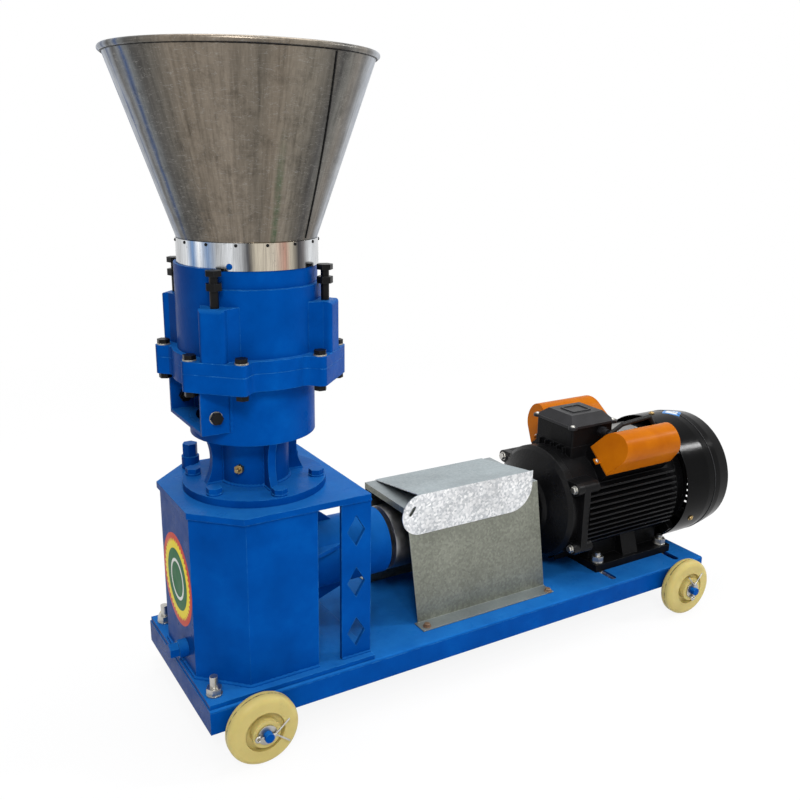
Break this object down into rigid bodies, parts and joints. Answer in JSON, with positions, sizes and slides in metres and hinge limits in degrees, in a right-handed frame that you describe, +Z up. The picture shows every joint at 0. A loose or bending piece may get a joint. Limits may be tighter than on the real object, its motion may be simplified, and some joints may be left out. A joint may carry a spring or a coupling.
{
  "type": "feed pellet mill",
  "caption": "Flat-die feed pellet mill with hopper, bevel drive, guarded coupling and electric motor on a wheeled deck.",
  "frame": {"origin": "on the floor under the middle of the overall box; the head axis is the line x = -0.33025 m, y = 0", "axes": "+X from the hopper end to the motor end, +Z up, +Y across the deck away from the side with the chute bolt in view"},
  "size_m": [0.9745, 0.332, 0.8255],
  "materials": {
    "blue_paint": "gloss",
    "bare_steel": "machined",
    "black_oxide": "satin",
    "zinc_plate": "satin",
    "nylon": "satin",
    "stainless": "polished",
    "galvanised": "spangled",
    "motor_black": "painted",
    "gloss_black": "gloss",
    "orange_plastic": "satin",
    "black_plastic": "matte",
    "spider_rubber": "matte",
    "copper_winding": "satin",
    "brass_nipple": "worn",
    "cable_rubber": "matte"
  },
  "bodies": {
    "frame": {"deck_plate": "blue_paint", "side_rails": "blue_paint", "end_rails": "blue_paint", "axles": "blue_paint", "wheel_retainers": "zinc_plate", "base_plate": "blue_paint", "base_fasteners": "zinc_plate", "gearbox_shell": "blue_paint", "top_plate": "blue_paint", "pierced_posts": "blue_paint", "pinion_housing": "blue_paint", "oil_plugs": "blue_paint", "column": "blue_paint", "column_bolts": "blue_paint", "grease_nipple": "brass_nipple", "lower_chamber": "blue_paint", "discharge_chute": "blue_paint", "upper_chamber": "blue_paint", "chamber_fasteners": "black_oxide", "shaft_bearings": "bare_steel", "pinion_bearings": "bare_steel", "guard_body": "galvanised", "guard_lid": "galvanised", "motor_frame": "motor_black", "motor_bell_front": "motor_black", "motor_bell_rear": "motor_black", "stator": "copper_winding", "motor_bearings": "bare_steel", "fan_cover": "gloss_black", "terminal_box": "motor_black", "terminal_lid": "motor_black", "capacitor_covers": "orange_plastic", "capacitors": "zinc_plate", "capacitor_lead": "cable_rubber", "cable_glands": "black_plastic", "foot_fasteners": "zinc_plate"},
    "drive_line": {"pinion_shaft": "bare_steel", "coupling_pinion_half": "bare_steel", "coupling_motor_half": "bare_steel", "coupling_spider": "spider_rubber", "rotor": "bare_steel", "cooling_fan": "black_plastic"},
    "die_shaft": {"main_shaft": "bare_steel", "crown_gear": "bare_steel", "ejector_disc": "bare_steel", "flat_die": "bare_steel", "die_nut": "bare_steel"},
    "carrier": {"roller_carrier": "bare_steel"},
    "roller_a": {"roller_a": "bare_steel"},
    "roller_b": {"roller_b": "bare_steel"},
    "hopper": {"hopper_cone": "stainless", "hopper_neck": "stainless"},
    "adjuster_1": {"adjuster_1": "black_oxide"},
    "adjuster_2": {"adjuster_2": "black_oxide"},
    "adjuster_3": {"adjuster_3": "black_oxide"},
    "adjuster_4": {"adjuster_4": "black_oxide"},
    "wheel_near_left": {"wheel_near_left": "nylon"},
    "wheel_near_right": {"wheel_near_right": "nylon"},
    "wheel_far_left": {"wheel_far_left": "nylon"},
    "wheel_far_right": {"wheel_far_right": "nylon"}
  },
  "joints": [
    {"name": "drive_turn", "type": "hinge", "parent": "frame", "child": "drive_line", "pos_m": [-0.03025, 0, 0.184], "axis": [1, 0, 0], "continuous": true},
    {"name": "die_turn", "type": "hinge", "parent": "frame", "child": "die_shaft", "pos_m": [-0.33025, 0, 0.3], "axis": [0, 0, 1], "continuous": true},
    {"name": "carrier_lift", "type": "slide", "parent": "frame", "child": "carrier", "axis": [0, 0, 1], "range_m": [0, 0.005]},
    {"name": "roller_a_turn", "type": "hinge", "parent": "carrier", "child": "roller_a", "pos_m": [-0.33025, 0, 0.5019], "axis": [0.7071, 0.7071, 0], "continuous": true},
    {"name": "roller_b_turn", "type": "hinge", "parent": "carrier", "child": "roller_b", "pos_m": [-0.33025, 0, 0.5019], "axis": [-0.7071, -0.7071, 0], "continuous": true},
    {"name": "hopper_lift", "type": "slide", "parent": "frame", "child": "hopper", "axis": [0, 0, 1], "range_m": [0, 0.06]},
    {"name": "screw_1_travel", "type": "slide", "parent": "frame", "child": "adjuster_1", "axis": [0, 0, 1], "range_m": [0, 0.005]},
    {"name": "screw_2_travel", "type": "slide", "parent": "frame", "child": "adjuster_2", "axis": [0, 0, 1], "range_m": [0, 0.005]},
    {"name": "screw_3_travel", "type": "slide", "parent": "frame", "child": "adjuster_3", "axis": [0, 0, 1], "range_m": [0, 0.005]},
    {"name": "screw_4_travel", "type": "slide", "parent": "frame", "child": "adjuster_4", "axis": [0, 0, 1], "range_m": [0, 0.005]},
    {"name": "wheel_near_left_turn", "type": "hinge", "parent": "frame", "child": "wheel_near_left", "pos_m": [-0.38675, -0.1413, 0.0455], "axis": [0, 1, 0], "continuous": true},
    {"name": "wheel_near_right_turn", "type": "hinge", "parent": "frame", "child": "wheel_near_right", "pos_m": [0.34725, -0.1413, 0.0455], "axis": [0, 1, 0], "continuous": true},
    {"name": "wheel_far_left_turn", "type": "hinge", "parent": "frame", "child": "wheel_far_left", "pos_m": [-0.38675, 0.1413, 0.0455], "axis": [0, 1, 0], "continuous": true},
    {"name": "wheel_far_right_turn", "type": "hinge", "parent": "frame", "child": "wheel_far_right", "pos_m": [0.34725, 0.1413, 0.0455], "axis": [0, 1, 0], "continuous": true}
  ],
  "couplings": [
    {"joint": "die_turn", "follows": "drive_turn", "ratio": 0.5},
    {"joint": "roller_a_turn", "follows": "drive_turn", "ratio": 0.91379},
    {"joint": "roller_b_turn", "follows": "drive_turn", "ratio": 0.91379},
    {"joint": "screw_1_travel", "follows": "carrier_lift", "ratio": 1},
    {"joint": "screw_2_travel", "follows": "carrier_lift", "ratio": 1},
    {"joint": "screw_3_travel", "follows": "carrier_lift", "ratio": 1},
    {"joint": "screw_4_travel", "follows": "carrier_lift", "ratio": 1}
  ]
}
